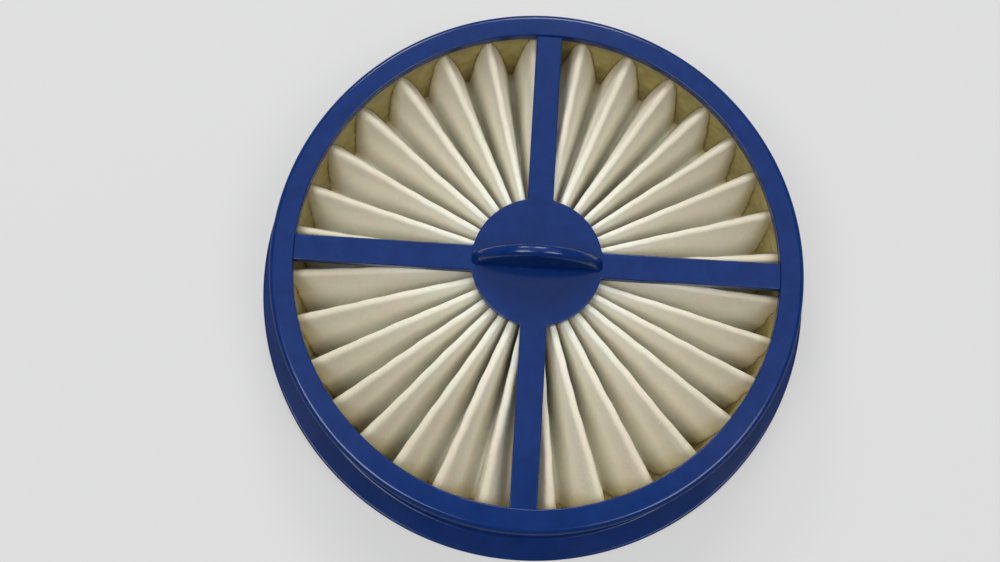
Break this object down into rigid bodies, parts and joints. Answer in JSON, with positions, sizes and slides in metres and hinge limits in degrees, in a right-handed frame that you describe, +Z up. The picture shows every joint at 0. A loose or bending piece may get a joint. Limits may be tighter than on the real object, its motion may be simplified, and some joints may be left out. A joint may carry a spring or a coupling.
{
  "type": "vacuum cleaner hepa filter",
  "caption": "Round pleated dust filter in a moulded ring with a bottom flange, spokes across its mouth and a half-moon finger grip on the hub.",
  "frame": {"origin": "centre of the underside, on the plane the rubber ring stands on", "axes": "+Z up out of the mouth, along the axis of the ring; +X along the finger grip and one pair of spokes; +Y along the other pair"},
  "size_m": [0.152, 0.152, 0.0412],
  "materials": {
    "blue_plastic": "glossy moulded ABS, dark blue",
    "seal_rubber": "matt black",
    "filter_felt": "matt cream fibre felt, finely mottled",
    "adhesive": "cured amber polyurethane, satin, darker where it wicks into the felt"
  },
  "bodies": {
    "root": {"frame": "blue_plastic", "retaining_grille": "blue_plastic", "flange_seal": "seal_rubber", "pleated_media": "filter_felt", "rim_potting": "adhesive", "hub_potting": "adhesive"}
  },
  "joints": []
}
